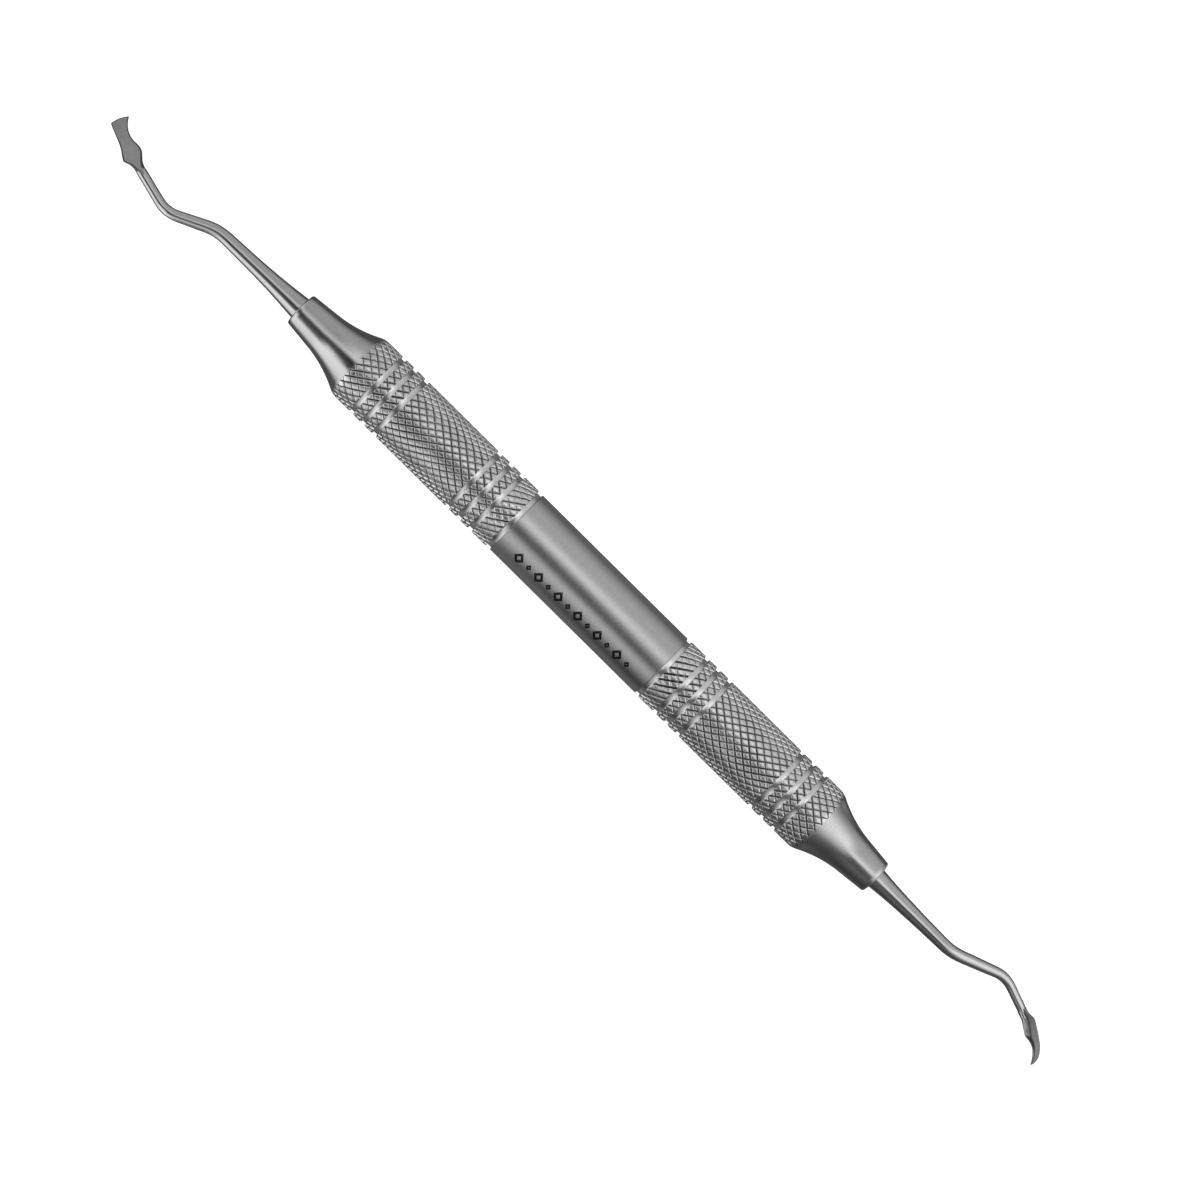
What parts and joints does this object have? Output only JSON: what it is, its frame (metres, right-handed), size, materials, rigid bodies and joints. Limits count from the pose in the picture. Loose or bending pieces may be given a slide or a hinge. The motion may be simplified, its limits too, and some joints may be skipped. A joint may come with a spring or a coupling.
{
  "type": "hand scaler",
  "caption": "Double-ended dental hand scaler: slim knurled round handle with a smooth middle, tapered nose cones and bent shanks that end in flat chisel-like blades.",
  "frame": {"origin": "middle of the handle, on its axis", "axes": "+X along the handle's axis towards end b; +Z square to the axis, away from the side that both blades are bent to; end a lies along -X"},
  "size_m": [0.1731, 0.01, 0.01],
  "materials": {
    "satin_steel": "satin stainless steel, lightly brushed round the axis",
    "knurled_steel": "diamond-knurled stainless steel with bright crests and dark cuts",
    "polished_steel": "polished stainless steel",
    "blade_steel": "polished shank, with matte ground flats on the blade"
  },
  "bodies": {
    "root": {"centre_barrel": "satin_steel", "grip_sleeve_a": "knurled_steel", "grip_sleeve_b": "knurled_steel", "nose_cone_a": "polished_steel", "nose_cone_b": "polished_steel", "working_end_a": "blade_steel", "working_end_b": "blade_steel"}
  },
  "joints": []
}
